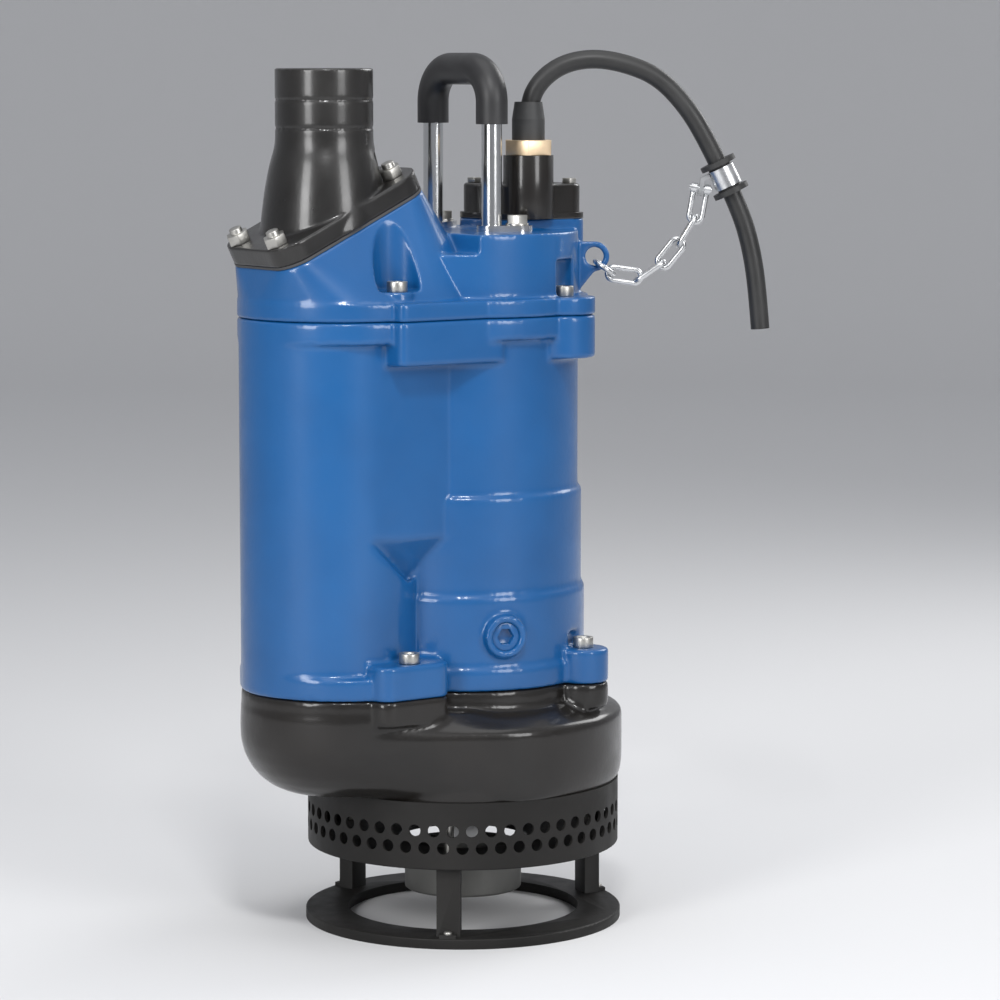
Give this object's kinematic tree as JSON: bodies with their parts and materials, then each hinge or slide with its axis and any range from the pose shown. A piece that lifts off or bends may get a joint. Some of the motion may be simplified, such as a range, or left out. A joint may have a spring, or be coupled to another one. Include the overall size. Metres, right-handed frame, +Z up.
{
  "type": "slurry pump",
  "caption": "Submersible slurry pump: motor column with side discharge, spiral casing, perforated strainer stand, agitator, bent handle, hose spigot and cable with safety chain.",
  "frame": {"origin": "centre of the stand ring's bottom face, on the motor shaft's axis at floor level", "axes": "+Z up along the motor shaft; -X towards the discharge column; -Y is the side nearest the cable"},
  "size_m": [0.402, 0.2987, 0.695],
  "materials": {
    "blue_paint": "gloss enamel over cast iron",
    "black_paint": "satin black paint over cast iron",
    "strainer_paint": "satin black paint over sheet steel",
    "coupling_paint": "semi-gloss black paint over cast iron",
    "bright_steel": "polished bright steel",
    "zinc_steel": "zinc plated steel",
    "shaft_steel": "turned steel",
    "bearing_steel": "ground bearing steel",
    "lamination_steel": "stacked electrical steel",
    "high_chrome_iron": "as cast, hard wearing",
    "grey_iron": "machined cast iron",
    "aluminium": "cast",
    "copper": "varnished winding wire",
    "brass": "turned and plated",
    "rubber": "smooth black",
    "grey_rubber": "smooth dark grey",
    "gasket": "sheet gasket",
    "carbide": "lapped ceramic",
    "thermal_plastic": "moulded housing"
  },
  "bodies": {
    "pump": {"base_stand": "black_paint", "stand_screws": "zinc_steel", "strainer_plate": "strainer_paint", "strainer_screen": "strainer_paint", "strainer_studs": "zinc_steel", "suction_cover": "high_chrome_iron", "suction_screws": "zinc_steel", "pump_casing": "black_paint", "motor_frame": "blue_paint", "oil_plug": "blue_paint", "oil_plug_washer": "gasket", "lower_joint_bolts": "zinc_steel", "oil_casing": "grey_iron", "casing_o_ring": "rubber", "seal_seats": "carbide", "lower_bearing_housing": "grey_iron", "lower_bearing_outer_race": "bearing_steel", "stator_core": "lamination_steel", "stator_windings": "copper", "upper_bearing_bracket": "grey_iron", "upper_bearing_outer_race": "bearing_steel", "motor_protector": "thermal_plastic", "upper_casing": "blue_paint", "upper_joint_bolts": "zinc_steel", "discharge_gasket": "gasket", "discharge_coupling": "coupling_paint", "discharge_bolts": "zinc_steel", "lifting_handle": "bright_steel", "handle_grip": "rubber", "handle_bolts": "zinc_steel", "head_cover_gasket": "gasket", "head_cover": "black_paint", "head_cover_bolts": "zinc_steel", "gland_packing": "rubber", "gland_nut": "brass", "cable_boot": "grey_rubber", "cable_gland_end": "rubber", "power_cable": "rubber", "clamp_sleeve": "rubber", "clamp_band": "bright_steel"},
    "rotor": {"motor_shaft": "shaft_steel", "rotor_core": "lamination_steel", "rotor_end_rings": "aluminium", "lower_bearing_inner_race": "bearing_steel", "upper_bearing_inner_race": "bearing_steel", "seal_rotors": "carbide", "shaft_sleeve": "shaft_steel", "impeller": "high_chrome_iron", "impeller_key": "shaft_steel", "agitator": "high_chrome_iron", "agitator_bolt": "zinc_steel"},
    "upper_cage": {"upper_bearing_balls": "bearing_steel"},
    "lower_cage": {"lower_bearing_balls": "bearing_steel"},
    "chain": {"chain_links": "bright_steel", "chain_shackle": "bright_steel"}
  },
  "joints": [
    {"name": "rotor_spin", "type": "hinge", "parent": "pump", "child": "rotor", "pos_m": [0, 0, 0.3], "axis": [0, 0, 1], "continuous": true},
    {"name": "upper_cage_spin", "type": "hinge", "parent": "pump", "child": "upper_cage", "pos_m": [0, 0, 0.4715], "axis": [0, 0, 1], "continuous": true},
    {"name": "lower_cage_spin", "type": "hinge", "parent": "pump", "child": "lower_cage", "pos_m": [0, 0, 0.272], "axis": [0, 0, 1], "continuous": true},
    {"name": "chain_swing", "type": "hinge", "parent": "pump", "child": "chain", "pos_m": [0.08661, -0.06064, 0.52786], "axis": [0.6729, -0.4712, 0.5703], "range_deg": [-18, 18]}
  ],
  "couplings": [
    {"joint": "upper_cage_spin", "follows": "rotor_spin", "ratio": 0.4013},
    {"joint": "lower_cage_spin", "follows": "rotor_spin", "ratio": 0.4}
  ]
}
